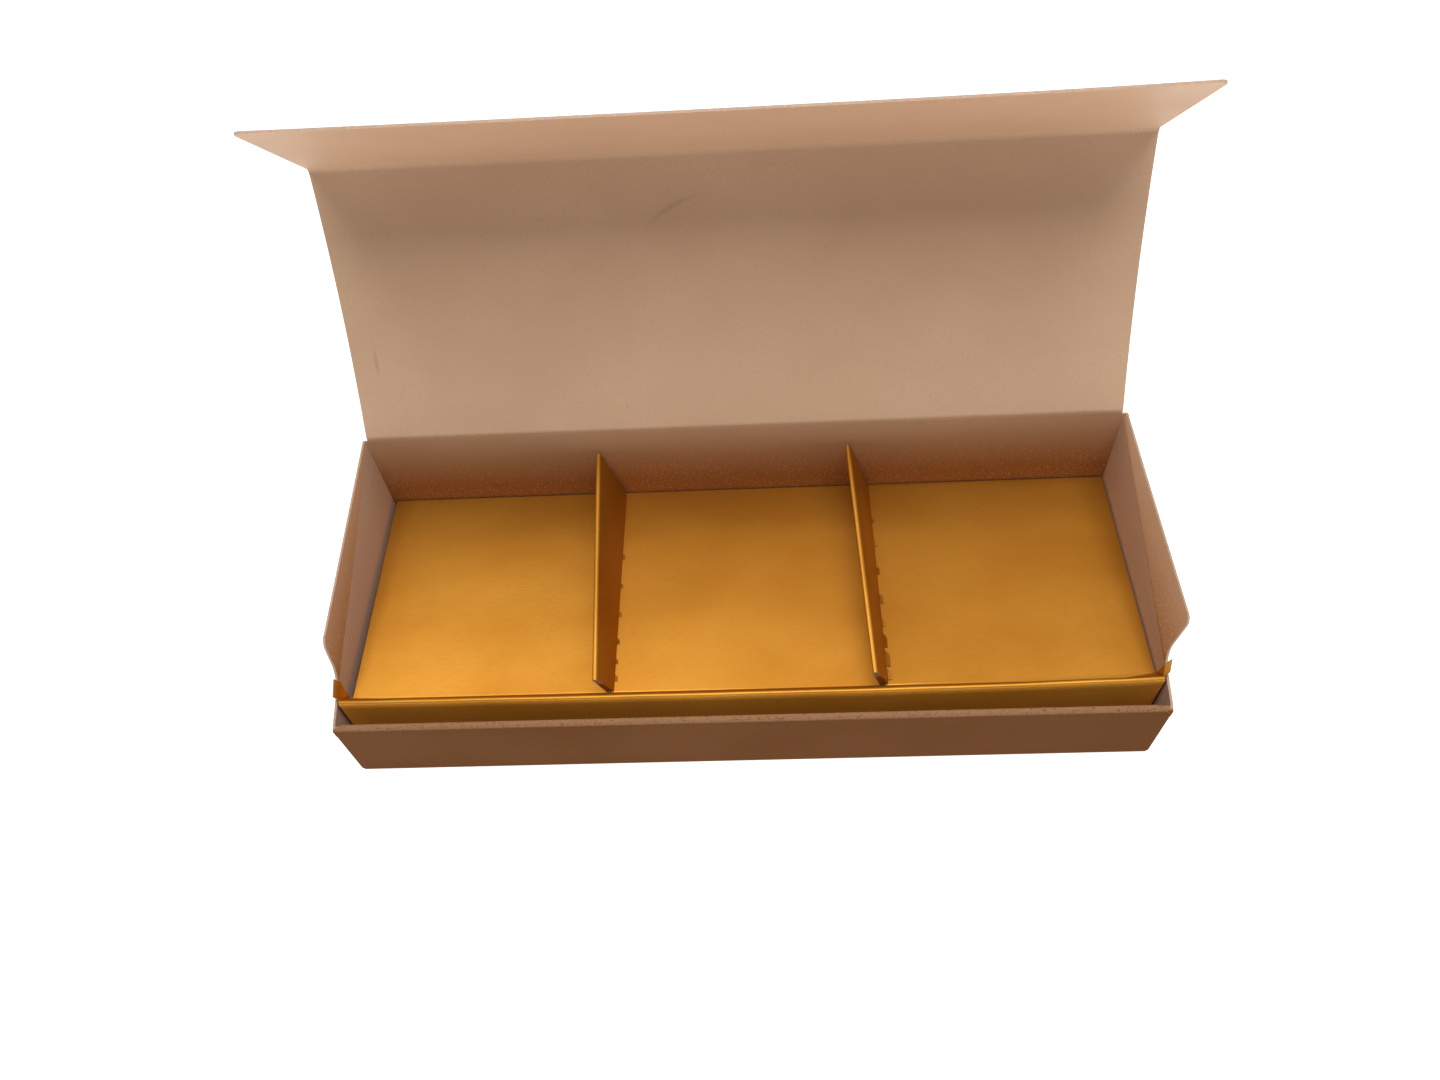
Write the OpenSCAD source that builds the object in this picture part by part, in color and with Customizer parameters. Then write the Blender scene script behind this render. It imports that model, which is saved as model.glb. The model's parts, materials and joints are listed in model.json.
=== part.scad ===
// Small gift carton with a low doubled front wall, a lid creased along the back rim, a tuck flap
// on the lid's edge, and a raised liner of gold card folded into three compartments.
// Origin: the centre of the underside. X runs along the width, the front is towards -Y.

/* [Tray] */
// Outer width of the tray, side to side
body_w = 170; // [140:1:220]
// Outer depth of the tray, front to back
body_d = 63; // [54:1:90]
// Height of the crease between the back wall and the lid
back_h = 39; // [36:0.5:60]
// Height of the doubled front wall
front_h = 19; // [15:0.5:21]
// Thickness of the cream card
card_t = 0.5; // [0.35:0.05:0.7]
// Length of the glue flaps between the two layers of the front wall
glue_flap_l = 14; // [8:1:30]
// How far the front wall's rolled edge is cut back at each end, on its inner side
roll_cut = 1.6; // [0.5:0.1:3]
// Drop from the rolled edge to the side panel's folded corner beside it
corner_step = 0.2; // [0.1:0.05:0.4]

/* [Side panels] */
// Height of a side panel at the back wall
side_back_h = 38; // [34:0.5:38.2]
// Height of a side panel at its free front corner
side_corner_h = 31.6; // [28:0.2:38]
// Distance from the front face back to the free front edge
side_setback = 11.5; // [10.5:0.5:18]
// Radius of the free front corner
side_corner_r = 4.5; // [1:0.5:7]
// Height of the shoulder below the free front edge
shoulder_h = 22; // [21:0.5:23]
// Radius of the hollow curve between the shoulder and the front edge
side_neck_r = 4; // [1:0.5:5]
// Outward bend of the left panel's free corner, in degrees
splay_left = 9; // [2:1:30]
// Outward bend of the right panel's free corner, in degrees
splay_right = 20; // [2:1:30]
// Radius of that soft bend
bend_r = 1.5; // [0.5:0.1:1.8]

/* [Lid] */
// Length of the lid, from the back crease to the flap crease
lid_l = 58.3; // [56.9:0.1:60.2]
// How far each end of the lid and the flap stands in from the tray's side
lid_inset = 1.1; // [0.9:0.1:4]
// How far the lid bows out of flat, at its middle
lid_bow = 1.6; // [0.4:0.2:4]
// Slope of the open lid above the horizontal, in degrees
lid_slope = 64.2; // [40:0.2:90]

/* [Tuck flap] */
// Depth of the tuck flap
flap_l = 32; // [20:1:36]
// Radius of the flap's free corners
flap_corner_r = 3; // [0.5:0.5:12]
// How far the open flap is folded out of the lid's line, in degrees
flap_fold = 64; // [0:1:83]

/* [Gold liner] */
// Thickness of the gold card
liner_t = 0.45; // [0.3:0.05:0.6]
// Height of the raised floor's top face
floor_h = 16.6; // [10:0.2:19]
// Height of the gold front wall
gold_wall_h = 21.2; // [20.2:0.2:25]
// Distance from the tray's front face back to the gold front wall
gold_wall_setback = 5; // [5:0.1:6.2]
// Distance from the tray's front face back to the raised floor
floor_setback = 8.5; // [8:0.1:14]
// Gap between the liner's two layers in a fold
fold_gap = 0.2; // [0.1:0.05:0.6]
// Gap between the raised floor and a side panel
floor_side_gap = 1; // [0.4:0.1:3]
// Gap between the ends of the gold front wall and a side panel
liner_end_gap = 0.3; // [0.2:0.05:1]
// Gap between the liner and the back wall
liner_back_gap = 0.3; // [0.1:0.05:2]

/* [Dividers] */
// Distance from the tray's left side to the first divider's foot
divider_1_x = 57.4; // [45:0.2:62]
// Distance from the tray's left side to the second divider's foot
divider_2_x = 114.8; // [100:0.2:120]
// Lean of the first divider to the left, in degrees
lean_1 = 15; // [0:1:25]
// Lean of the second divider to the left, in degrees
lean_2 = 18; // [0:1:25]
// Height of the dividers at the back, above the underside
divider_back_h = 32; // [26:0.5:36]
// Height of the dividers at the front, above the underside
divider_front_h = 25; // [23:0.5:34]
// Lean of the dividers' front ends towards the gold front wall, in degrees
divider_front_lean = 12; // [0:1:20]

/* [Creases] */
// Clearance between two panels that meet at a crease
crease_gap = 0.15; // [0.1:0.05:0.3]

/* [Hidden] */

$fn = 64;
// Faces of a whole turn at the lid's bow, whose radius is large
bow_fn = 720;
// Far enough to cut right through any panel
far = 400;

front_y = -body_d / 2;
back_y = body_d / 2;
left_x = -body_w / 2;
// The front wall is two layers with a glue flap between them
front_wall_t = 3 * card_t;
// Its top is folded twice, with a narrow flat between the two rounded folds
roll_r = 0.4 * front_wall_t;
roll_z = front_h - front_wall_t / 2;

// The soft bend of a side panel runs from the front wall's corner to the back wall's corner
bend_front_h = front_h;
bend_back_h = side_back_h - 2 * card_t;
bend_slope = atan2(bend_back_h - bend_front_h, body_d);

hinge_y = back_y - card_t / 2;
crease_clear = card_t / 2 + crease_gap;
// Rounded edge of a panel at its crease, a little thinner than the card
bead_d = card_t - 0.05;
lid_w = body_w - 2 * lid_inset;
lid_r = (pow(lid_l / 2, 2) + pow(lid_bow, 2)) / (2 * lid_bow);
lid_half_angle = asin(lid_l / (2 * lid_r));
crease_y = hinge_y + lid_l * cos(lid_slope);
crease_z = back_h + lid_l * sin(lid_slope);
flap_slope = lid_slope + lid_half_angle + flap_fold;

fold_t = 2 * liner_t + fold_gap;
liner_half_w = body_w / 2 - card_t - liner_end_gap;
floor_half_w = body_w / 2 - card_t - floor_side_gap;
liner_back_y = back_y - card_t - liner_back_gap;
gold_y = front_y + gold_wall_setback;
floor_y = front_y + floor_setback;
// A divider runs from just behind the gold wall to just in front of the back leg
divider_foot_y = floor_y + liner_t;
divider_end_y = liner_back_y - liner_t - fold_gap;

// Ear: it stands along the side panel, then turns out over the shoulder
ear_bend_h = shoulder_h + 0.4;
ear_top_h = ear_bend_h + 1.6;
ear_out = 1;
ear_foot_l = 0.6;
ear_rear_slope = 3;

// Points of an arc about centre c, from angle a0 to angle a1
function arc(c, r, a0, a1, n = 12) =
    [for (i = [0 : n]) let (a = a0 + (a1 - a0) * i / n) c + r * [cos(a), sin(a)]];

// A strip of card of thickness t, folded along a list of points
module folded_strip(points, t) {
    for (i = [0 : len(points) - 2]) {
        run = points[i + 1] - points[i];
        translate(points[i])
            rotate(atan2(run[1], run[0]))
                translate([0, -t / 2])
                    square([norm(run), t]);
    }
    for (i = [1 : len(points) - 2])
        translate(points[i])
            circle(d = t);
}

// Turns a profile drawn in the YZ plane into a solid from x0 to x1
module along_x(x0, x1) {
    translate([x0, 0, 0])
        rotate([90, 0, 90])
            linear_extrude(x1 - x0)
                children();
}

// Outline of a side panel, seen from the side: y from the front face, then height
module side_outline() {
    neck = [side_setback - side_neck_r, shoulder_h + side_neck_r];
    corner = [side_setback + side_corner_r, side_corner_h - side_corner_r];
    corner_h = front_h - corner_step;
    polygon(concat(
        [[0, 0], [0, corner_h], [front_wall_t, corner_h], [front_wall_t, front_h]],
        arc(neck, side_neck_r, -90, 0),
        arc(corner, side_corner_r, 180, 90),
        [[body_d, side_back_h], [body_d, 0]]
    ));
}

// Section across a side panel's bend: it stands on x = 0, and turns towards -X above y = 0
module bent_section(splay) {
    centre = [-bend_r, 0];
    along = far * [-sin(splay), cos(splay)];
    inner = arc(centre, bend_r + card_t, 0, splay);
    outer = arc(centre, bend_r, splay, 0);
    polygon(concat(
        [[card_t, -far]],
        inner,
        [inner[len(inner) - 1] + along, outer[0] + along],
        outer,
        [[0, -far]]
    ));
}

// One side panel with its outer face on x = 0 and its front corner at the origin
module side_panel(splay) {
    intersection() {
        translate([0, 0, bend_front_h])
            rotate([bend_slope + 90, 0, 0])
                linear_extrude(far, center = true)
                    bent_section(splay);
        along_x(-far / 2, far / 2)
            side_outline();
    }
}

// Outline of the front wall's top, seen from the end, with its two rounded folds
module rolled_outline() {
    fold_z = front_h - roll_r;
    translate([0, roll_z - card_t])
        square([front_wall_t, fold_z - roll_z + card_t]);
    translate([roll_r, roll_z])
        square([front_wall_t - 2 * roll_r, front_h - roll_z]);
    for (y = [roll_r, front_wall_t - roll_r])
        translate([y, fold_z])
            circle(r = roll_r);
}

// The left end of the rolled edge: the slanted cut, as [x, y] points seen from above
function roll_end() = [[card_t / 2, 0], [card_t / 2 + roll_cut, front_wall_t]];

// Doubled front wall: outer layer, rolled top edge, inner layer down to the base
module front_wall() {
    outer_y = card_t / 2;
    inner_y = front_wall_t - card_t / 2;
    right_end = [for (p = roll_end()) [body_w - p[0], p[1]]];
    along_x(0, body_w)
        folded_strip([[outer_y, 0], [outer_y, roll_z]], card_t);
    intersection() {
        along_x(0, body_w)
            difference() {
                rolled_outline();
                translate([card_t, 0])
                    square([card_t, front_h - card_t]);
            }
        linear_extrude(front_h)
            polygon([roll_end()[0], roll_end()[1], right_end[1], right_end[0]]);
    }
    along_x(card_t / 2, body_w - card_t / 2)
        folded_strip([[inner_y, 0], [inner_y, roll_z]], card_t);
    for (side = [0, 1])
        translate([side * body_w, 0, 0])
            mirror([side, 0, 0]) {
                translate([0, card_t, 0])
                    cube([glue_flap_l, card_t, roll_z]);
                folded_corner();
            }
}

// The side panel's corner, folded inwards and on under the slanted end of the rolled edge
module folded_corner() {
    along_x(0, roll_cut + 2 * card_t)
        translate([0, -corner_step])
            rolled_outline();
}

module carton_tray() {
    color([0.74, 0.6, 0.48])
        translate([left_x, front_y, 0]) {
            cube([body_w, body_d, card_t]);
            translate([0, body_d - card_t, 0])
                cube([body_w, card_t, back_h - crease_clear]);
            front_wall();
            side_panel(splay_left);
            translate([body_w, 0, 0])
                mirror([1, 0, 0])
                    side_panel(splay_right);
        }
}

// Heights of a divider's fold line along its own leaning plane, above the raised floor
function divider_rise(height, lean) = (height - floor_h) / cos(lean) - fold_t / 2;

// The fold line at a divider's top, from the back to the front, as [y, rise] points
function divider_top(lean) =
    let (front_rise = divider_rise(divider_front_h, lean))
    [[divider_end_y, divider_rise(divider_back_h, lean)],
     [divider_foot_y - front_rise * tan(divider_front_lean), front_rise]];

// Side view of a divider below its fold line, going down to the given depth under the floor
module divider_side(lean, depth) {
    foot = [[divider_foot_y, 0], [divider_foot_y, -depth], [divider_end_y, -depth]];
    polygon(concat(foot, divider_top(lean)));
}

// Moves a divider's own frame to its foot on the raised floor, leaning to the left
module at_divider(foot_x, lean) {
    translate([left_x + foot_x - fold_t / (2 * cos(lean)), 0, floor_h])
        rotate([0, -lean, 0])
            children();
}

// Both layers of a divider with the rounded fold along their top
module divider(foot_x, lean) {
    top = divider_top(lean);
    run = top[0] - top[1];
    intersection() {
        at_divider(foot_x, lean) {
            along_x(-fold_t / 2, fold_t / 2)
                divider_side(lean, fold_t);
            intersection() {
                translate([0, top[1][0], top[1][1]])
                    rotate([atan2(run[1], run[0]) - 90, 0, 0])
                        translate([0, 0, -fold_t])
                            cylinder(d = fold_t, h = body_d);
                translate([-fold_t, top[1][0], 0])
                    cube([2 * fold_t, run[0], far]);
            }
        }
        translate([-far / 2, -far / 2, floor_h - liner_t / 2])
            cube(far);
    }
}

// The narrow space between a divider's layers, open through the raised floor
module divider_space(foot_x, lean) {
    at_divider(foot_x, lean)
        along_x(-fold_gap / 2, fold_gap / 2)
            divider_side(lean, 4 * fold_t);
}

// Gold ear at the end of the liner's wall, for the left end, with its outer face at x = 0
module ear() {
    wall_y = gold_y + fold_t - liner_t / 2;
    foot_z = floor_h - liner_t;
    rear_y = floor_y + ear_foot_l;
    intersection() {
        translate([0, far / 2, 0])
            rotate([90, 0, 0])
                linear_extrude(far)
                    folded_strip([
                        [liner_t / 2, foot_z],
                        [liner_t / 2, ear_bend_h],
                        [liner_t / 2 - ear_out, ear_top_h + liner_t]
                    ], liner_t);
        along_x(-far / 2, far / 2)
            polygon([
                [floor_y, foot_z],
                [rear_y, foot_z],
                [rear_y - (ear_top_h - floor_h) * tan(ear_rear_slope), ear_top_h],
                [wall_y, ear_top_h],
                [wall_y, gold_wall_h - liner_t]
            ]);
    }
}

module gold_liner() {
    outer_y = gold_y + liner_t / 2;
    inner_y = gold_y + fold_t - liner_t / 2;
    top_z = gold_wall_h - liner_t / 2;
    mid_z = floor_h - liner_t / 2;
    rear_y = liner_back_y - liner_t / 2;
    color([0.8, 0.58, 0.24])
        difference() {
            union() {
                along_x(-liner_half_w, liner_half_w)
                    folded_strip([
                        [outer_y, card_t], [outer_y, top_z], [inner_y, top_z],
                        [floor_y, mid_z], [floor_y + liner_t, mid_z]
                    ], liner_t);
                along_x(-floor_half_w, floor_half_w)
                    folded_strip([[floor_y, mid_z], [rear_y, mid_z], [rear_y, card_t]], liner_t);
                for (side = [0, 1])
                    mirror([side, 0, 0]) {
                        translate([-floor_half_w, floor_y, card_t])
                            cube([liner_t, rear_y - floor_y, mid_z - card_t]);
                        translate([-liner_half_w, 0, 0])
                            ear();
                    }
                divider(divider_1_x, lean_1);
                divider(divider_2_x, lean_2);
            }
            divider_space(divider_1_x, lean_1);
            divider_space(divider_2_x, lean_2);
        }
}

// The lid is drawn lying back along +Y from its crease, bowed, then raised to its open slope
module lid_panel() {
    end_angle = asin(crease_clear / lid_r);
    color([0.76, 0.62, 0.5])
        translate([-lid_w / 2, hinge_y, back_h])
            rotate([lid_slope, 0, 0]) {
                translate([0, lid_l / 2, lid_r - lid_bow])
                    rotate([0, 90, 0])
                        rotate([0, 0, -lid_half_angle])
                            rotate_extrude(angle = 2 * lid_half_angle - end_angle, $fn = bow_fn)
                                translate([lid_r - card_t / 2, 0])
                                    square([card_t, lid_w]);
                rotate([0, 90, 0])
                    cylinder(d = bead_d, h = lid_w);
            }
}

// The flap is drawn along +Y from its crease, then turned to its open slope
module tuck_flap() {
    color([0.76, 0.62, 0.5])
        translate([0, crease_y, crease_z])
            rotate([flap_slope, 0, 0]) {
                translate([-lid_w / 2, 0, -card_t / 2])
                    linear_extrude(card_t) {
                        square([lid_w, flap_l - flap_corner_r]);
                        translate([flap_corner_r, 0])
                            square([lid_w - 2 * flap_corner_r, flap_l]);
                        for (x = [flap_corner_r, lid_w - flap_corner_r])
                            translate([x, flap_l - flap_corner_r])
                                circle(r = flap_corner_r);
                    }
                translate([-lid_w / 2, 0, 0])
                    rotate([0, 90, 0])
                        cylinder(d = bead_d, h = lid_w);
            }
}

carton_tray();
gold_liner();
lid_panel();
tuck_flap();
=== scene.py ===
# %% [markdown]
# # A small gift carton with a gold liner
# The real thing is two folded sheets. One is cream card: a tray with a low doubled front wall, a
# lid creased along the back rim, and a tuck flap on the lid's edge. The other is gold card, folded
# into a raised floor with two upright dividers. The CAD frame gives the outer box and the hinges,
# and this lesson folds both sheets again as thin card, with soft creases, cut edges and paper.

# %% Load the frame
import json
import math

import bmesh
import bpy
from mathutils import Matrix, Vector


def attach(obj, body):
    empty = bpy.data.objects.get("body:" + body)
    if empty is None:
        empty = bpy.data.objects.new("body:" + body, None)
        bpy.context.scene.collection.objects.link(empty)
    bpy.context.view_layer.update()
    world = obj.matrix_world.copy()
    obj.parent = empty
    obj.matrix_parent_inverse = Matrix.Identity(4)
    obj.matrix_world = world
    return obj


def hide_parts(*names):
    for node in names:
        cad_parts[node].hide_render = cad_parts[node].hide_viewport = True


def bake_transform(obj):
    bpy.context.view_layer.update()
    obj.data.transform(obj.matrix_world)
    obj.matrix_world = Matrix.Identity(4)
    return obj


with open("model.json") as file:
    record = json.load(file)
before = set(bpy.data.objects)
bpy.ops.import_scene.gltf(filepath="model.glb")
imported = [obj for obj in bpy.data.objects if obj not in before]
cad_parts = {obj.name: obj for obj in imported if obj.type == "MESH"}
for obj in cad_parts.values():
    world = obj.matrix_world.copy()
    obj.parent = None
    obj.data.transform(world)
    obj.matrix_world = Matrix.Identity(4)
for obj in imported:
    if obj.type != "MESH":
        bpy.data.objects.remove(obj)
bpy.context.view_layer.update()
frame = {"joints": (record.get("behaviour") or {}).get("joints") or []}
MM = 0.001

# %% [markdown]
# ## Sizes
# Card is drawn as the surface halfway through its thickness, and gets its thickness at the end, so
# each panel is one face and each fold is one edge. These sizes are the real ones in millimetres,
# and the ones that the frame can give are read from it.

# %% Sizes of the carton
CARD = 0.5
BODY_W = 170.0
BODY_D = 63.0
FRONT_Y = -BODY_D / 2
BACK_Y = BODY_D / 2
SIDE_X = BODY_W / 2
FRONT_H = 19.0
hinges = {joint["name"]: Vector(joint["pos_m"]) / MM for joint in frame["joints"]}
LID_CREASE = hinges["lid_hinge"]
FLAP_CREASE = hinges["flap_hinge"]
print("lid crease", LID_CREASE, "flap crease", FLAP_CREASE)

# %% [markdown]
# ## The camera
# The photo looks down into the open box from in front, with a short lens held close. Its place
# was worked out from the box's own corners, so the render can be laid over the photo.

# %% Camera
CAMERA_MM = (6.61, -133.54, 220.26)
CAMERA_PITCH = 53.637
CAMERA_TURN = -4.589
CAMERA_ROLL = -5.557
LENS_MM = 27.47
SENSOR_MM = 36.0


def add_camera():
    bpy.ops.object.camera_add()
    camera = bpy.context.object
    turn = Matrix.Rotation(math.radians(-CAMERA_TURN), 4, "Z")
    tilt = Matrix.Rotation(math.radians(90 - CAMERA_PITCH), 4, "X")
    roll = Matrix.Rotation(math.radians(CAMERA_ROLL), 4, "Z")
    camera.matrix_world = Matrix.Translation(Vector(CAMERA_MM) * MM) @ turn @ tilt @ roll
    camera.data.lens = LENS_MM
    camera.data.sensor_width = SENSOR_MM
    camera.data.clip_start = 0.005
    bpy.context.scene.camera = camera


add_camera()

# %% [markdown]
# ## Floor and light
# The photo's ground is plain white. The floor stays a real surface, so it keeps the soft shadow,
# and a plain glow of its own lifts it to white and reaches the card a little from below. One large
# lamp hangs straight over the box, as a ceiling lamp would. A dim warm world fills the shade, which
# is brown in the photo, and the camera and reflections see a plain pale background in its place.

# %% Floor and world
FLOOR_SIZE = 6.0
FLOOR_LIFT = 0.9
FLOOR_TINT = (0.75, 0.72, 0.68, 1)
WORLD_FILL = (1.0, 0.8, 0.6, 1.0)
WORLD_LEVEL = 0.05


def add_floor():
    bpy.ops.mesh.primitive_plane_add(size=FLOOR_SIZE, location=(0, 0, 0))
    floor = bpy.context.object
    floor.name = "floor"
    material = bpy.data.materials.new("floor_white")
    material.use_nodes = True
    nodes, links = material.node_tree.nodes, material.node_tree.links
    nodes.clear()
    output = nodes.new("ShaderNodeOutputMaterial")
    paint = nodes.new("ShaderNodeBsdfDiffuse")
    paint.inputs["Color"].default_value = FLOOR_TINT
    lift = nodes.new("ShaderNodeEmission")
    lift.inputs["Strength"].default_value = FLOOR_LIFT
    total = nodes.new("ShaderNodeAddShader")
    links.new(paint.outputs[0], total.inputs[0])
    links.new(lift.outputs[0], total.inputs[1])
    links.new(total.outputs[0], output.inputs["Surface"])
    floor.data.materials.append(material)


def set_world():
    world = bpy.data.worlds.new("studio")
    bpy.context.scene.world = world
    world.use_nodes = True
    nodes, links = world.node_tree.nodes, world.node_tree.links
    nodes.clear()
    output = nodes.new("ShaderNodeOutputWorld")
    fill = nodes.new("ShaderNodeBackground")
    fill.inputs["Color"].default_value = WORLD_FILL
    fill.inputs["Strength"].default_value = WORLD_LEVEL
    pale = nodes.new("ShaderNodeBackground")
    path = nodes.new("ShaderNodeLightPath")
    either = nodes.new("ShaderNodeMath")
    either.operation = "MAXIMUM"
    pick_one = nodes.new("ShaderNodeMixShader")
    links.new(path.outputs["Is Camera Ray"], either.inputs[0])
    links.new(path.outputs["Is Glossy Ray"], either.inputs[1])
    links.new(either.outputs[0], pick_one.inputs[0])
    links.new(fill.outputs[0], pick_one.inputs[1])
    links.new(pale.outputs[0], pick_one.inputs[2])
    links.new(pick_one.outputs[0], output.inputs["Surface"])


add_floor()
set_world()
bpy.context.scene.view_settings.view_transform = "Standard"

# %% Lamp
LAMP_MM = (30, -30, 560)
LAMP_SIZE = (0.55, 0.3)
LAMP_LEVEL = 1.02


def add_lamp():
    place = Vector(LAMP_MM) * MM
    bpy.ops.object.light_add(type="AREA", location=place)
    lamp = bpy.context.object
    lamp.data.shape = "RECTANGLE"
    lamp.data.size, lamp.data.size_y = LAMP_SIZE
    lamp.data.energy = LAMP_LEVEL * math.pi**2 * place.length_squared
    print("lamp watts", round(lamp.data.energy, 2))


add_lamp()

# %% [markdown]
# ## Working by hand, in code
# Each panel starts as a plane of its real size. The helpers below do what a hand does in edit
# mode: pick edges or faces by their place, then extrude, cut, bevel or spin what is picked.

# %% Edit helpers
SNAP = 0.02


def add_panel(name, size, place, turn=(0, 0, 0)):
    """A plane of the given size in mm, turned and set in its place, open in edit mode."""
    bpy.ops.object.select_all(action="DESELECT")
    bpy.ops.mesh.primitive_plane_add(size=1)
    obj = bpy.context.object
    obj.name = name
    obj.scale = (size[0] * MM, size[1] * MM, 1)
    obj.rotation_euler = [math.radians(a) for a in turn]
    obj.location = Vector(place) * MM
    bpy.ops.object.transform_apply(location=True, rotation=True, scale=True)
    bpy.ops.object.mode_set(mode="EDIT")
    return obj


def pick(kind, test, extend=False):
    """Selects the verts, edges or faces whose middle, in mm, passes the test, and counts them."""
    mesh = bpy.context.object.data
    bm = bmesh.from_edit_mesh(mesh)
    bpy.context.tool_settings.mesh_select_mode = [kind == k for k in ("verts", "edges", "faces")]
    bm.select_mode = {kind[:-1].upper()}
    if not extend:
        for sequence in (bm.verts, bm.edges, bm.faces):
            for item in sequence:
                item.select = False
    chosen = []
    for item in getattr(bm, kind):
        if kind == "verts":
            points = [item.co / MM]
        else:
            points = [v.co / MM for v in item.verts]
        if test(sum(points, Vector()) / len(points), points):
            chosen.append(item)
    for item in chosen:
        item.select_set(True)
    bm.select_flush_mode()
    bmesh.update_edit_mesh(mesh)
    return len(chosen)


def near(a, b):
    return abs(a - b) < SNAP


def pick_edges(test):
    """Selects edges by a test on their two end points."""
    return pick("edges", lambda middle, ends: test(*ends))


def extrude(x=0.0, y=0.0, z=0.0):
    bpy.ops.mesh.extrude_region_move(TRANSFORM_OT_translate={"value": (x * MM, y * MM, z * MM)})


def move(x=0.0, y=0.0, z=0.0):
    bpy.ops.transform.translate(value=(x * MM, y * MM, z * MM))


def cut(point, normal, clear=False):
    """Cuts the selected faces with a plane, and clears what is on the normal's side if asked."""
    bpy.ops.mesh.bisect(plane_co=Vector(point) * MM, plane_no=normal, clear_outer=clear)


def spin(degrees, centre, steps, axis=(1, 0, 0)):
    """Sweeps the selected edges round a centre. With no window, Blender turns the other way."""
    bpy.ops.mesh.spin(
        steps=steps, angle=-math.radians(degrees), center=Vector(centre) * MM, axis=axis
    )


def round_fold(radius, steps):
    """Rounds the selected fold edges."""
    bpy.ops.mesh.bevel(offset=radius * MM, segments=steps, affect="EDGES", clamp_overlap=True)


def round_corner(radius, steps):
    """Rounds the selected corners of a flat panel."""
    bpy.ops.mesh.bevel(offset=radius * MM, segments=steps, affect="VERTICES", clamp_overlap=True)


def apply_modifiers(obj):
    bpy.ops.object.select_all(action="DESELECT")
    obj.select_set(True)
    bpy.context.view_layer.objects.active = obj
    for modifier in list(obj.modifiers):
        bpy.ops.object.modifier_apply(modifier=modifier.name)


def thicken(obj, thickness, faces_out, edges):
    """Gives a sheet its thickness, with one material on each side and one on its cut edges."""
    bpy.ops.object.mode_set(mode="OBJECT")
    solidify = obj.modifiers.new("card", "SOLIDIFY")
    solidify.thickness = thickness * MM
    solidify.offset = 0
    solidify.use_even_offset = True
    solidify.material_offset = faces_out
    solidify.material_offset_rim = edges
    apply_modifiers(obj)
    bpy.ops.object.shade_smooth_by_angle(angle=math.radians(35))
    print(obj.name, "has", len(obj.data.polygons), "faces")


# %% [markdown]
# ## Card and foil
# The cream card is matt with a faint pearl. Its outer side is a much deeper brown, and its cut
# edges show the core. The tray's inner walls are painted darker and warmer towards the bottom, as
# painted shade, and the front wall's top fold carries a lighter band, a painted highlight. The gold
# card is foil over board: a satin metal with a fine grain that runs across the box. The outer face
# of its wall is a brighter, nearly unmetallic copy of the gold, painted light on a face in shade.
# Both colours wander a little, and both have a fine tooth in their bump.

# %% Material helpers


class Tree:
    """A small wrapper that adds nodes and joins them in one line each."""

    def __init__(self, name):
        self.material = bpy.data.materials.new(name)
        self.material.use_nodes = True
        self.nodes = self.material.node_tree.nodes
        self.links = self.material.node_tree.links
        self.shader = self.nodes["Principled BSDF"]
        self.place = self.nodes.new("ShaderNodeTexCoord").outputs["Object"]

    def scaled(self, scale, move=(0, 0, 0)):
        """Object coordinates in mm, times a scale on each axis."""
        node = self.nodes.new("ShaderNodeMapping")
        node.inputs["Scale"].default_value = [s / MM for s in scale]
        node.inputs["Location"].default_value = move
        self.links.new(self.place, node.inputs["Vector"])
        return node.outputs["Vector"]

    def noise(self, scale, detail=2.0, move=(0, 0, 0)):
        node = self.nodes.new("ShaderNodeTexNoise")
        node.inputs["Scale"].default_value = 1.0
        node.inputs["Detail"].default_value = detail
        self.links.new(self.scaled(scale, move), node.inputs["Vector"])
        return node.outputs["Fac"]

    def ramp(self, value, low, high):
        """Maps a value from low..high to 0..1 and clamps it."""
        node = self.nodes.new("ShaderNodeMapRange")
        node.inputs["From Min"].default_value = low
        node.inputs["From Max"].default_value = high
        self.links.new(value, node.inputs["Value"])
        return node.outputs["Result"]

    def math(self, operation, a, b):
        node = self.nodes.new("ShaderNodeMath")
        node.operation = operation
        for socket, value in zip(node.inputs, (a, b)):
            if isinstance(value, (int, float)):
                socket.default_value = value
            else:
                self.links.new(value, socket)
        return node.outputs[0]

    def blend(self, share, a, b):
        """Mixes two colours by a share from 0 to 1."""
        node = self.nodes.new("ShaderNodeMix")
        node.data_type = "RGBA"
        sockets = [s for s in node.inputs if s.type == "RGBA"]
        self.links.new(share, node.inputs["Factor"])
        for socket, value in zip(sockets, (a, b)):
            if isinstance(value, (tuple, list)):
                socket.default_value = (*value, 1)
            else:
                self.links.new(value, socket)
        return [s for s in node.outputs if s.type == "RGBA"][0]

    def spot(self, x, z, half_x, half_z):
        """1 at a place on the lid, falling to 0 at an ellipse about it, and its distance."""
        shares = self.scaled((1 / half_x, 0, 1 / half_z), (-x / half_x, 0, -z / half_z))
        node = self.nodes.new("ShaderNodeVectorMath")
        node.operation = "LENGTH"
        self.links.new(shares, node.inputs[0])
        return self.ramp(node.outputs["Value"], 1, 0), node.outputs["Value"]

    def bump(self, height, distance_mm, strength, under=None):
        node = self.nodes.new("ShaderNodeBump")
        node.inputs["Distance"].default_value = distance_mm * MM
        node.inputs["Strength"].default_value = strength
        self.links.new(height, node.inputs["Height"])
        if under is not None:
            self.links.new(under, node.inputs["Normal"])
        return node.outputs["Normal"]

    def finish(self, colour=None, roughness=None, normal=None):
        for name, value in (("Base Color", colour), ("Roughness", roughness), ("Normal", normal)):
            if value is not None:
                self.links.new(value, self.shader.inputs[name])
        return self.material


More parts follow.
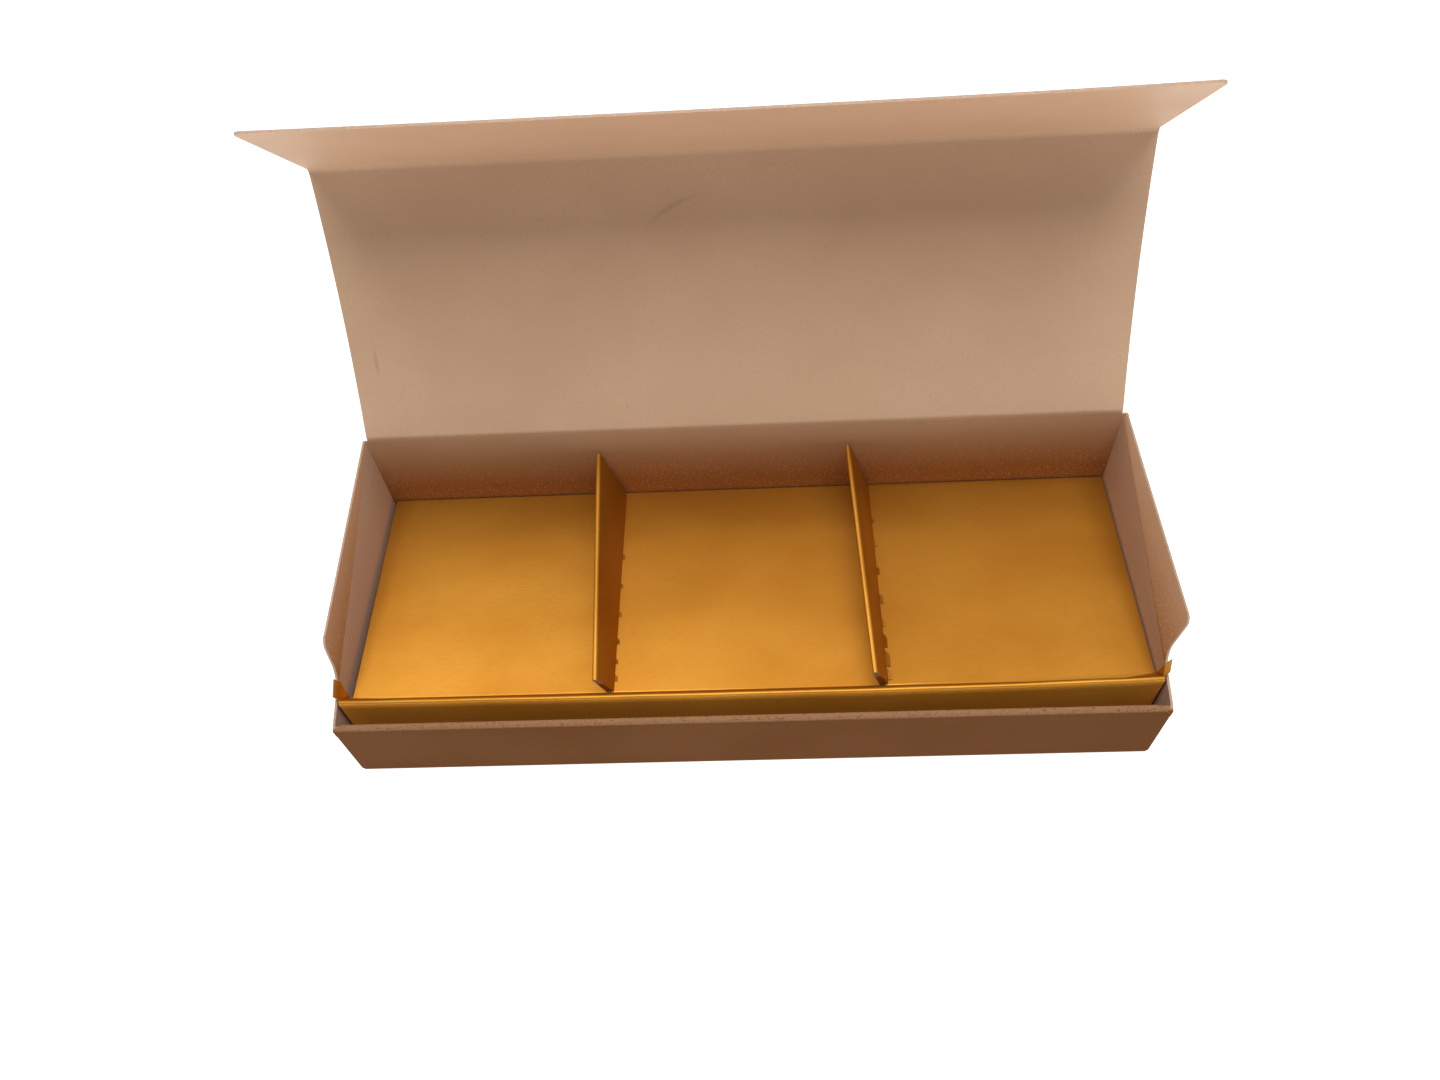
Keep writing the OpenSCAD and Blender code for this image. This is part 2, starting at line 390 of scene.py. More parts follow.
# %% Cream card
CREAM_INSIDE = (0.67, 0.45, 0.295)
CREAM_INSIDE_DEEP = (0.63, 0.41, 0.265)
# Painted shade: the warm brown that the tray's inner walls darken to towards the bottom.
CREAM_PAINTED_SHADE = (0.38, 0.155, 0.045)
# Painted highlight: a lighter band along the front wall's top fold, which faces the lamp.
CREAM_FOLD_PAINTED_HIGHLIGHT = (0.36, 0.19, 0.1)
CREAM_OUTSIDE = (0.185, 0.072, 0.02)
CREAM_OUTSIDE_DEEP = (0.165, 0.062, 0.016)
CARD_CORE = (0.6, 0.42, 0.31)
# Heights over which the inner walls' painted shade fades out, from the bottom up.
PAINTED_SHADE_Z = (21, 39)
# Where the fold's painted highlight lies: its height, and how near the front.
FOLD_HIGHLIGHT_Z = (18.25, 18.75)
FOLD_HIGHLIGHT_Y = (-29.2, -29.8)
SCUFF_PLACE = (-11, 81, 9, 5)
SCUFF_CIRCLE = (-2.5, 68, 18.4, 15.5)
SCUFF_LINE = 0.05
SCUFF_SHADE = 0.5
SMALL_MARKS = ((-78.6, 54, 0.5, 3), (-24.4, 43.5, 0.4, 0.4))
MARK_SHADE = 0.35
MARK_DARK = 0.55


def handling_marks(tree, colour, dark):
    """The lid's inner side has a faint curved scuff, a short dark line and a tiny spot."""
    near_scuff, _ = tree.spot(*SCUFF_PLACE)
    _, ring = tree.spot(*SCUFF_CIRCLE)
    line = tree.ramp(tree.math("ABSOLUTE", tree.math("SUBTRACT", ring, 1), 0), SCUFF_LINE, 0)
    shares = [tree.math("MULTIPLY", tree.math("MULTIPLY", line, near_scuff), SCUFF_SHADE)]
    for place in SMALL_MARKS:
        shares.append(tree.math("MULTIPLY", tree.ramp(tree.spot(*place)[0], 0, 0.5), MARK_SHADE))
    for share in shares:
        colour = tree.blend(share, colour, dark)
    return colour


def cream_card(name, light, deep, shine, low=None, fold=None, marked=False):
    tree = Tree(name)
    mottle = tree.ramp(tree.noise((0.035, 0.05, 0.04), 3), 0.35, 0.65)
    fibre = tree.noise((2.2, 2.2, 2.2), 3)
    colour = tree.blend(mottle, light, deep)
    split = tree.nodes.new("ShaderNodeSeparateXYZ")
    tree.links.new(tree.scaled((1, 1, 1)), split.inputs[0])
    # Painted shade: the wall darkens towards the shade colour lower down.
    if low:
        colour = tree.blend(tree.ramp(split.outputs["Z"], *PAINTED_SHADE_Z), low, colour)
    if marked:
        colour = handling_marks(tree, colour, tuple(MARK_DARK * c for c in deep))
    # Painted highlight: a lighter band along the top fold of the front wall.
    if fold:
        high = tree.ramp(split.outputs["Z"], *FOLD_HIGHLIGHT_Z)
        front = tree.ramp(split.outputs["Y"], *FOLD_HIGHLIGHT_Y)
        colour = tree.blend(tree.math("MULTIPLY", high, front), colour, fold)
    dark = tuple(0.93 * c for c in deep)
    colour = tree.blend(tree.ramp(fibre, 0.52, 0.78), colour, dark)
    tooth = tree.bump(fibre, 0.03, 0.25)
    swell = tree.bump(tree.noise((0.05, 0.05, 0.05), 1), 1.2, 0.12, tooth)
    tree.shader.inputs["Specular IOR Level"].default_value = shine
    roughness = tree.math("ADD", tree.math("MULTIPLY", mottle, 0.08), 0.5)
    return tree.finish(colour, roughness, swell)


def card_edge(name, colour):
    """The cut edge of a board, with its layers as faint streaks."""
    tree = Tree(name)
    streak = tree.noise((1.5, 1.5, 6.0), 3)
    dark = tuple(0.78 * c for c in colour)
    shade = tree.blend(tree.ramp(streak, 0.4, 0.7), colour, dark)
    tree.shader.inputs["Specular IOR Level"].default_value = 0.2
    tree.shader.inputs["Roughness"].default_value = 0.8
    return tree.finish(shade, None, tree.bump(streak, 0.05, 0.4))


cream_inside = cream_card("cream_card_inside", CREAM_INSIDE, CREAM_INSIDE_DEEP, 0.25,
                          marked=True)
cream_outside = cream_card("cream_card_outside", CREAM_OUTSIDE, CREAM_OUTSIDE_DEEP, 0.02)
# The tray's inner side, with painted shade that darkens it towards the bottom.
cream_wall_painted_shade = cream_card("cream_card_wall", CREAM_INSIDE, CREAM_INSIDE_DEEP, 0.15, CREAM_PAINTED_SHADE)
# The tray's outer side: brown, with a painted highlight along its top fold.
cream_front_with_painted_highlight = cream_card("cream_card_front", CREAM_OUTSIDE, CREAM_OUTSIDE_DEEP, 0.02,
                         fold=CREAM_FOLD_PAINTED_HIGHLIGHT)
cream_edge = card_edge("cream_card_edge", CARD_CORE)

# %% Gold card
GOLD_LIGHT = (0.53, 0.24, 0.032)
GOLD_DEEP = (0.46, 0.19, 0.022)
GOLD_CORE = (0.36, 0.18, 0.07)


def gold_card(name, metallic, lift):
    tree = Tree(name)
    mottle = tree.ramp(tree.noise((0.03, 0.05, 0.05), 3), 0.35, 0.65)
    grain = tree.noise((0.6, 5.0, 5.0), 3)
    # The lift scales the colour; above 1, for the wall's outer face, it is painted light.
    light = tuple(lift * c for c in GOLD_LIGHT)
    deep = tuple(lift * c for c in GOLD_DEEP)
    colour = tree.blend(mottle, light, deep)
    colour = tree.blend(tree.ramp(grain, 0.5, 1.0), colour, tuple(0.85 * c for c in deep))
    tree.shader.inputs["Metallic"].default_value = metallic
    tree.shader.inputs["Specular IOR Level"].default_value = 0.15
    tree.shader.inputs["Specular Tint"].default_value = (0.95, 0.7, 0.35, 1)
    roughness = tree.math("ADD", tree.math("MULTIPLY", grain, 0.1), 0.4)
    normal = tree.bump(grain, 0.02, 0.1)
    swell = tree.bump(tree.noise((0.04, 0.04, 0.04), 1), 1.0, 0.12, normal)
    return tree.finish(colour, roughness, swell)


gold_face = gold_card("gold_card_face", 0.85, 0.9)
# A brighter, nearly unmetallic copy of the gold: painted light for the wall's outer face, which stands
# in shade.
gold_wall_painted_light = gold_card("gold_card_dull_face", 0.1, 1.87)
gold_edge = card_edge("gold_card_edge", GOLD_CORE)

# %% [markdown]
# ## The tray
# The tray is one sheet. Its base is the first plane. The front wall goes up, turns over two small
# folds with a narrow flat between them, and comes down again inside. The side panels fold in
# between those two layers as glue flaps. The rolled edge is cut short at a slant at both ends, so
# the folded corner shows beside it.

# %% Tray sizes
LAYER = CARD / 2
ROLL_R = 0.35
ROLL_FLAT = 0.36
ROLL_DEPTH = 2 * ROLL_R + ROLL_FLAT
ROLL_Z = FRONT_H - LAYER - ROLL_R
ROLL_CUT = {-1: (0.2, 1.7), 1: (1.2, 2.6)}
CORNER_CUT = 0.9
CORNER_STEP = 0.3
CORNER_R = 0.3
CORNER_BEHIND = 0.06
CREASE_START = 1.2
WALL_TOP = LID_CREASE.z - CREASE_START
SIDE_BACK_H = 38.0
SIDE_CORNER_H = 31.6
SIDE_SETBACK = 11.5
SIDE_CORNER_R = 1.8
SIDE_CORNER = {-1: (1.9, -0.1), 1: (1.0, 1.0)}
NECK_SHIFT = -0.9
NECK_R = 4.0
SHOULDER_H = 22.0
BEND_FRONT_H = FRONT_H + 0.6
BEND_BACK_H = SIDE_BACK_H - 2 * CARD
BEND_SPREAD = 1.3
SPLAY = {-1: 9.0, 1: 20.0}
GLUE_FLAP = 14.0
FLARE = 0.55
FLARE_KEPT = {-1: 0.0, 1: 0.5}
FLARE_FALL = 11
FLARE_BACK_Y = 20
FLARE_RUN = 38
SPREAD_CUTS_Y = (-16, 0, 16)
SPREAD_CUTS_Z = (7, 14)
FOLD_R = 0.45
RELIEF = 0.6
FLAP_FOLD_Y = FRONT_Y + LAYER + ROLL_DEPTH / 2
X_MID = SIDE_X - LAYER
Y_MID = BACK_Y - LAYER


def trim_base_corners():
    """Cuts a small relief at the two corners where the front and side folds would meet."""
    for side in (-1, 1):
        bpy.ops.mesh.select_all(action="SELECT")
        lean = (FLAP_FOLD_Y - FRONT_Y - LAYER) / RELIEF
        cut((side * X_MID, FLAP_FOLD_Y, 0), (side * lean, -1, 0), clear=True)


def roll_over(front, top, radius):
    """Turns the selected edge back over two small folds with a narrow flat between them."""
    flat = ROLL_DEPTH - 2 * (front - FRONT_Y - LAYER) - 2 * radius
    spin(-90, (0, front + radius, top), 3)
    extrude(y=flat)
    spin(-90, (0, front + radius + flat, top), 3)


def fold_front_wall():
    """Extrudes the base's front edge up, over the roll and down inside."""
    front = FRONT_Y + LAYER
    pick_edges(lambda a, b: near(a.y, front) and near(b.y, front))
    extrude(z=2 * FOLD_R)
    for side in (-1, 1):
        pick("verts", lambda p, _: side * p.x > 0 and near(p.y, front) and p.z > LAYER + FOLD_R)
        move(x=side * RELIEF)
    pick_edges(lambda a, b: near(a.y, front) and near(b.y, front) and min(a.z, b.z) > LAYER + FOLD_R)
    extrude(z=ROLL_Z - LAYER - 2 * FOLD_R - CORNER_CUT)
    extrude(z=CORNER_CUT)
    roll_over(front, ROLL_Z, ROLL_R)
    extrude(z=-2)
    extrude(z=CARD + 2.1 - ROLL_Z)
    bm = bmesh.from_edit_mesh(bpy.context.object.data)
    for vert in bm.verts:
        x, y, z = vert.co / MM
        share = (y - front) / ROLL_DEPTH
        on_roll = z > ROLL_Z - SNAP or share > 0.01 and z > CARD
        if on_roll and share < 1.01 and abs(x) > X_MID - 1:
            start, end = ROLL_CUT[1 if x > 0 else -1]
            end = end if z > CARD + 1 else 0.6
            vert.co.x -= math.copysign(start + (end - start) * share, x) * MM
    bmesh.update_edit_mesh(bpy.context.object.data)


def cut_side_outline(side):
    """Cuts one side panel's free outline: sloping top edge, shoulder, neck and round corner."""
    def on_panel(middle, points):
        return all(near(p.x, side * X_MID) for p in points) and middle.z > CARD

    corner_y = FRONT_Y + SIDE_SETBACK
    run = BODY_D - SIDE_SETBACK - SIDE_CORNER_R
    top_slope = (SIDE_BACK_H - SIDE_CORNER_H) / run
    pick("faces", on_panel)
    cut((0, BACK_Y, SIDE_BACK_H), (0, -top_slope, 1), clear=True)
    pick("faces", on_panel)
    cut((0, corner_y, 0), (0, 1, 0))
    shoulder_slope = (SHOULDER_H - FRONT_H + 0.3) / (corner_y - FLAP_FOLD_Y)
    pick("faces", on_panel)
    cut((0, corner_y, SHOULDER_H), (0, -shoulder_slope, 1))
    pick("faces", lambda m, ps: on_panel(m, ps) and m.y < corner_y and m.z > SHOULDER_H)
    bpy.ops.mesh.delete(type="FACE")
    pick("faces", on_panel)
    bpy.ops.mesh.dissolve_faces()
    pick("verts", lambda p, _: near(p.x, side * X_MID) and near(p.y, corner_y)
         and p.z > SHOULDER_H + 1)
    move(y=SIDE_CORNER[side][0], z=SIDE_CORNER[side][1])
    round_corner(SIDE_CORNER_R, 5)
    pick("verts", lambda p, _: near(p.x, side * X_MID) and near(p.y, corner_y)
         and near(p.z, SHOULDER_H))
    move(y=NECK_SHIFT)
    round_corner(NECK_R, 8)


def bend_side(side):
    """Bends a panel's free part outwards along a line from the front corner to the back."""
    slope = (BEND_BACK_H - BEND_FRONT_H) / BODY_D
    start = Vector((side * X_MID, FRONT_Y, BEND_FRONT_H))
    along = Vector((0, 1, slope)).normalized()
    across = Vector((0, -slope, 1)).normalized()

    def on_bend(p):
        return near(p.x, side * X_MID) and abs((p - start).dot(across)) < SNAP

    pick("faces", lambda m, ps: all(near(p.x, side * X_MID) for p in ps))
    cut(start, across)
    bm = bmesh.from_edit_mesh(bpy.context.object.data)
    above = [
        v for v in bm.verts
        if near(v.co.x / MM, side * X_MID) and (v.co / MM - start).dot(across) > SNAP
        and v.co.y / MM < Y_MID + SNAP and v.co.y / MM > FRONT_Y + CARD
    ]
    turn = Matrix.Rotation(math.radians(side * SPLAY[side]), 4, along)
    bmesh.ops.rotate(bm, verts=above, cent=start * MM, matrix=turn)
    bmesh.update_edit_mesh(bpy.context.object.data)
    pick_edges(lambda a, b: on_bend(a) and on_bend(b))
    round_fold(BEND_SPREAD, 5)


def flare(side, y, z):
    """How far in mm a side stands out near the front corner, where the real card has spread."""
    if z < FRONT_H:
        height = max(0, z / FRONT_H)
    else:
        height = max(FLARE_KEPT[side], 1 - (z - FRONT_H) / FLARE_FALL)
    return side * FLARE * height * min(1, max(0, (FLARE_BACK_Y - y) / FLARE_RUN))


def spread_sides():
    """Spreads both side panels a little towards the front."""
    for y in SPREAD_CUTS_Y:
        pick("faces", lambda m, ps: all(abs(p.x) > X_MID - SNAP for p in ps))
        cut((0, y, 0), (0, 1, 0))
    for z in SPREAD_CUTS_Z:
        pick("faces", lambda m, ps: all(abs(p.x) > X_MID - SNAP for p in ps))
        cut((0, 0, z), (0, 0, 1))
    bm = bmesh.from_edit_mesh(bpy.context.object.data)
    for vert in bm.verts:
        x, y, z = vert.co / MM
        if abs(x) > X_MID - 4 and z > 1:
            vert.co.x += flare(1 if x > 0 else -1, y, z) * MM
    bmesh.update_edit_mesh(bpy.context.object.data)


def fold_glue_flap(side):
    """Folds a flap off the panel's front edge, into the space between the front wall's layers."""
    foot_z = LAYER + 2 * FOLD_R
    pick("faces", lambda m, ps: all(near(p.x, side * X_MID) for p in ps))
    cut((0, 0, foot_z), (0, 0, 1))

    def on_fold(p):
        return near(p.y, FLAP_FOLD_Y) and near(p.x, side * X_MID) and foot_z - SNAP < p.z < FRONT_H

    pick_edges(lambda a, b: on_fold(a) and on_fold(b))
    extrude(x=-side * GLUE_FLAP)
    pick("verts", lambda p, _: near(p.y, FLAP_FOLD_Y) and abs(p.x) < X_MID - 2
         and p.z > foot_z + 1)
    move(z=ROLL_Z - FRONT_H + 0.2)
    pick_edges(lambda a, b: on_fold(a) and on_fold(b))
    round_fold(FOLD_R, 3)


def add_folded_corner(side):
    """Adds the panel's folded corner, a little lower than the roll and under its slanted end."""
    front = FRONT_Y + LAYER + CORNER_BEHIND
    top = FRONT_H - CORNER_STEP - LAYER - CORNER_R
    bm = bmesh.from_edit_mesh(bpy.context.object.data)
    faces_before = len(bm.faces)
    ends = [side * (X_MID + 0.15), side * (X_MID - ROLL_CUT[side][1] - 0.8)]
    edge = bm.edges.new([bm.verts.new(Vector((x, front, top - 2)) * MM) for x in ends])
    bpy.ops.mesh.select_all(action="DESELECT")
    edge.select_set(True)
    bmesh.update_edit_mesh(bpy.context.object.data)
    extrude(z=2)
    roll_over(front, top, CORNER_R)
    extrude(z=-2)
    bm = bmesh.from_edit_mesh(bpy.context.object.data)
    bm.faces.ensure_lookup_table()
    # The folded corner takes the inner wall's material, which at this height shows its painted shade
    # colour.
    for face in bm.faces[faces_before:]:
        face.material_index = 1
    bmesh.update_edit_mesh(bpy.context.object.data)


def fold_tray():
    tray = add_panel("tray_card", (2 * X_MID, 2 * Y_MID), (0, 0, LAYER))
    trim_base_corners()
    fold_front_wall()
    pick_edges(lambda a, b: near(a.y, Y_MID) and near(b.y, Y_MID) and near(a.z, LAYER))
    extrude(z=BEND_BACK_H - LAYER)
    extrude(z=WALL_TOP - BEND_BACK_H)
    for side in (-1, 1):
        pick_edges(lambda a, b: near(a.x, side * X_MID) and near(b.x, side * X_MID)
                   and near(a.z, LAYER) and near(b.z, LAYER))
        extrude(z=SIDE_BACK_H + 1 - LAYER)
        cut_side_outline(side)
        bend_side(side)
    bpy.ops.mesh.select_all(action="SELECT")
    bpy.ops.mesh.remove_doubles(threshold=0.01 * MM)
    for side in (-1, 1):
        fold_glue_flap(side)
        add_folded_corner(side)
    folds = pick_edges(
        lambda a, b: (near(a.z, LAYER) and near(b.z, LAYER)
                      and (near(a.y, b.y) or near(a.x, b.x)))
        or (near(a.x, b.x) and near(a.y, Y_MID) and near(b.y, Y_MID) and max(a.z, b.z) < WALL_TOP
            and abs(a.x) > X_MID - 1)
    )
    print("folds to round:", folds)
    round_fold(FOLD_R, 3)
    spread_sides()
    bpy.ops.mesh.select_all(action="SELECT")
    bpy.ops.mesh.normals_make_consistent(inside=False)
    # Outer side: brown with a painted highlight on the top fold. Inner side: card with painted shade
    # lower down.
    for material in (cream_front_with_painted_highlight, cream_wall_painted_shade, cream_edge):
        tray.data.materials.append(material)
    thicken(tray, CARD, 1, 2)
    return tray


tray = fold_tray()
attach(tray, "tray")
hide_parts("carton_tray")

# %% [markdown]
# ## The lid and its crease
# The lid is the same sheet as the tray, so its crease is a soft bend and not a gap.

# %% Lid
LID_INSET = 1.1
LID_L = 58.3
LID_BOW = 1.6
LID_SLOPE = 64.2
LID_W = BODY_W - 2 * LID_INSET
LID_ARC_R = ((LID_L / 2) ** 2 + LID_BOW**2) / (2 * LID_BOW)
LID_HALF_ANGLE = math.degrees(math.asin(LID_L / (2 * LID_ARC_R)))
CREASE_R = 1.5
FLAP_CREASE_R = 1.6
FLAP_FOLD = 64.0
LID_STEPS = 16


def slope_vector(degrees):
    """A unit vector in the YZ plane at an angle above the +Y axis."""
    return Vector((0, math.cos(math.radians(degrees)), math.sin(math.radians(degrees))))


def fold_lid():
    start_slope = LID_SLOPE - LID_HALF_ANGLE
    crease_turn = 90 - start_slope
    tangent = CREASE_R * math.tan(math.radians(crease_turn / 2))
    flap_tangent = FLAP_CREASE_R * math.tan(math.radians(FLAP_FOLD / 2))
    wall_l = CREASE_START - tangent
    lid = add_panel("lid_card", (LID_W, wall_l), (0, Y_MID, WALL_TOP + wall_l / 2), (90, 0, 0))
    top_z = LID_CREASE.z - tangent
    pick_edges(lambda a, b: near(a.z, top_z) and near(b.z, top_z))
    spin(-crease_turn, (0, Y_MID + CREASE_R, top_z), 6)
    arc_start = LID_CREASE + slope_vector(start_slope) * tangent
    arc_centre = arc_start + slope_vector(start_slope + 90) * LID_ARC_R
    lost = math.degrees((tangent + flap_tangent) / LID_ARC_R)
    spin(2 * LID_HALF_ANGLE - lost, arc_centre, LID_STEPS)
    bpy.ops.mesh.select_all(action="SELECT")
    bpy.ops.mesh.normals_make_consistent(inside=False)
    for material in (cream_outside, cream_inside, cream_edge):
        lid.data.materials.append(material)
    thicken(lid, CARD, 1, 2)
    return lid


lid = fold_lid()
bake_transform(lid)
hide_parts("lid_panel")

# %% Tuck flap
FLAP_L = 32.0
FLAP_CORNER_R = 1.7
FLAP_HOLLOW = 0.8
FLAP_TIPS = {-1: 0.3, 1: 1.3}


def hollow_edge(start, along):
    """Draws the free edge back a little at its middle and out at its tips."""
    for step in range(1, 14):
        bpy.ops.mesh.select_all(action="SELECT")
        cut((LID_W * (step / 14 - 0.5), 0, 0), (1, 0, 0))
    bm = bmesh.from_edit_mesh(bpy.context.object.data)
    for vert in bm.verts:
        share = (vert.co / MM - start).dot(along) / FLAP_L
        if share > 0.05:
            u = vert.co.x / MM / (LID_W / 2)
            middle = 1 - u * u
            reach = FLAP_TIPS[1 if u > 0 else -1] * u**4 - FLAP_HOLLOW * middle
            vert.co += along * reach * share * MM
    bmesh.update_edit_mesh(bpy.context.object.data)


def fold_flap():
    end_slope = LID_SLOPE + LID_HALF_ANGLE
    tangent = FLAP_CREASE_R * math.tan(math.radians(FLAP_FOLD / 2))
    start = FLAP_CREASE - slope_vector(end_slope) * tangent
    flap = add_panel("flap_card", (LID_W, 0.2), start - slope_vector(end_slope) * 0.1,
                     (end_slope, 0, 0))
    pick_edges(lambda a, b: (a - start).dot(slope_vector(end_slope)) > -SNAP
               and (b - start).dot(slope_vector(end_slope)) > -SNAP)
    spin(FLAP_FOLD, start + slope_vector(end_slope + 90) * FLAP_CREASE_R, 8)
    run = slope_vector(end_slope + FLAP_FOLD) * (FLAP_L - tangent)
    extrude(y=run.y, z=run.z)
    tip = FLAP_CREASE + slope_vector(end_slope + FLAP_FOLD) * FLAP_L
    pick("verts", lambda p, _: (p - tip).dot(slope_vector(end_slope + FLAP_FOLD)) > -SNAP)
    round_corner(FLAP_CORNER_R, 8)
    hollow_edge(FLAP_CREASE, slope_vector(end_slope + FLAP_FOLD))
    bpy.ops.mesh.select_all(action="SELECT")
    bpy.ops.mesh.normals_make_consistent(inside=False)
    for material in (cream_outside, cream_inside, cream_edge):
        flap.data.materials.append(material)
    thicken(flap, CARD, 1, 2)
    return flap, start


flap, flap_start = fold_flap()
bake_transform(flap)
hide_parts("tuck_flap")

# %% [markdown]
# ## The gold liner
# The liner stands loose in the tray. Its floor is a plane again. A divider is a narrow strip of
# that floor pulled up into a fold, leaning to the left, and its sloping top is made by lowering
# the front. The front edge goes up at a slant, over a flat top, and down to the tray's base.

# %% Liner sizes
FOIL = 0.45
FOIL_MID = FOIL / 2
FLOOR_Z = 16.6 - FOIL_MID
FLOOR_FRONT = FRONT_Y + 8.5
FLOOR_BACK = BACK_Y - CARD - 0.3 - FOIL_MID
FLOOR_X = {-1: SIDE_X - CARD - 1.0 - FOIL_MID, 1: SIDE_X - CARD - 0.4 - FOIL_MID}
WALL_X = SIDE_X - CARD - 0.3 - FOIL_MID
GOLD_TOP = 21.2 - FOIL_MID
GOLD_OUTER_Y = FRONT_Y + 5.0 + FOIL_MID
FOLD_SPACE = FOIL + 0.2
GOLD_INNER_Y = GOLD_OUTER_Y + FOLD_SPACE
LEG_FOOT = CARD + 0.02
FOIL_FOLD_R = 0.3
DIVIDERS = (("left", 57.4, 15.0), ("right", 114.8, 18.0))
DIVIDER_BACK_H = 32.0
DIVIDER_FRONT_H = 25.0
DIVIDER_FRONT_LEAN = 12.0
DIVIDER_FRONT = FLOOR_FRONT + FOIL
DIVIDER_BACK = FLOOR_BACK - FOIL_MID - 0.2
EARS = {-1: (0.7, 23.0, 24.3), 1: (-0.9, 24.2, 25.7)}
EAR_START = 0.3
EAR_OUT = 0.8
WALL_FOLD_R = 0.28
WALL_CUTS = 24
WALL_BOW = -0.19
WALL_RIGHT_BACK = 0.7
WALL_WAVES = ((0.03, 0.21, 0), (0.02, 0.53, 1))


def raise_divider(foot, lean):
    """Pulls a narrow strip of the floor up into a leaning fold with a sloping top."""
    slope = math.radians(lean)
    spread = FOLD_SPACE / math.cos(slope)
    right = foot - SIDE_X - FOIL_MID / math.cos(slope)
    left = right - spread
    for x in (left, right):
        pick("faces", lambda m, ps: near(m.z, FLOOR_Z))
        cut((x, 0, FLOOR_Z), (1, 0, 0))
    pick("faces", lambda m, ps: left < m.x < right and near(m.z, FLOOR_Z)
         and DIVIDER_FRONT < m.y < DIVIDER_BACK)
    rise = DIVIDER_BACK_H - FOIL_MID - FLOOR_Z
    extrude(x=-rise * math.tan(slope), z=rise)
    drop = DIVIDER_BACK_H - DIVIDER_FRONT_H
    front_lean = math.tan(math.radians(DIVIDER_FRONT_LEAN))
    pick("verts", lambda p, _: near(p.z, FLOOR_Z + rise) and near(p.y, DIVIDER_FRONT)
         and left - rise < p.x < right)
    move(x=drop * math.tan(slope), y=-front_lean * (rise - drop), z=-drop)
    lean_x = math.tan(slope)

    def on_layer(p):
        base_x = p.x + (p.z - FLOOR_Z) * lean_x
        return near(base_x, left) or near(base_x, right)

    ends = pick("faces", lambda m, ps: all(on_layer(p) for p in ps) and m.z > FLOOR_Z + 1
                and (max(p.y for p in ps) < FLOOR_FRONT + 2 or min(p.y for p in ps) > DIVIDER_BACK - 1))
    bpy.ops.mesh.delete(type="FACE")
    pick_edges(lambda a, b: on_layer(a) and on_layer(b) and abs(a.y - b.y) > 20
               and (min(a.z, b.z) > FLOOR_Z + 1 or near(a.z, FLOOR_Z) and near(b.z, FLOOR_Z)))
    round_fold(FOIL_FOLD_R, 3)
    print("divider ends opened:", ends)


def fold_ear(side):
    """Folds the slanted band's end up along the side panel, and its tip out over the panel."""
    x = side * WALL_X
    slip, bend_z, top_z = EARS[side]

    def on_end(a, b, low, high):
        return (near(a.x, x) and near(b.x, x) and near(min(a.z, b.z), low)
                and near(max(a.z, b.z), high) and max(a.y, b.y) > GOLD_INNER_Y + 1)

    pick_edges(lambda a, b: on_end(a, b, FLOOR_Z, GOLD_TOP))
    extrude(z=EAR_START)
    pick("verts", lambda p, _: near(p.x, x) and near(p.y, FLOOR_FRONT)
         and near(p.z, FLOOR_Z + EAR_START))
    move(y=slip, z=bend_z - FLOOR_Z - EAR_START)
    pick_edges(lambda a, b: on_end(a, b, GOLD_TOP + EAR_START, bend_z))
    extrude(x=side * EAR_OUT, z=top_z - bend_z)


def bow_wall():
    """Bows the gold wall forward at its middle and back at its right end, as loose card stands."""
    for step in range(1, WALL_CUTS):
        x = -WALL_X + 2 * WALL_X * step / WALL_CUTS
        pick("faces", lambda m, ps: max(p.y for p in ps) < FLOOR_FRONT + SNAP)
        cut((x, 0, 0), (1, 0, 0))
    bm = bmesh.from_edit_mesh(bpy.context.object.data)
    for vert in bm.verts:
        x, y, z = vert.co / MM
        share = min(1, (FLOOR_FRONT - y) / (FLOOR_FRONT - GOLD_INNER_Y))
        if share > 0.01:
            bow = WALL_BOW * (1 - (x / WALL_X) ** 2) + WALL_RIGHT_BACK * max(0, x / WALL_X) ** 3
            wave = sum(size * math.sin(rate * x + shift) for size, rate, shift in WALL_WAVES)
            vert.co.y += share * (bow + wave) * MM
        if abs(x) > WALL_X - 0.5 and share > -0.5:
            vert.co.x += flare(1 if x > 0 else -1, y, z) * MM
    bmesh.update_edit_mesh(bpy.context.object.data)


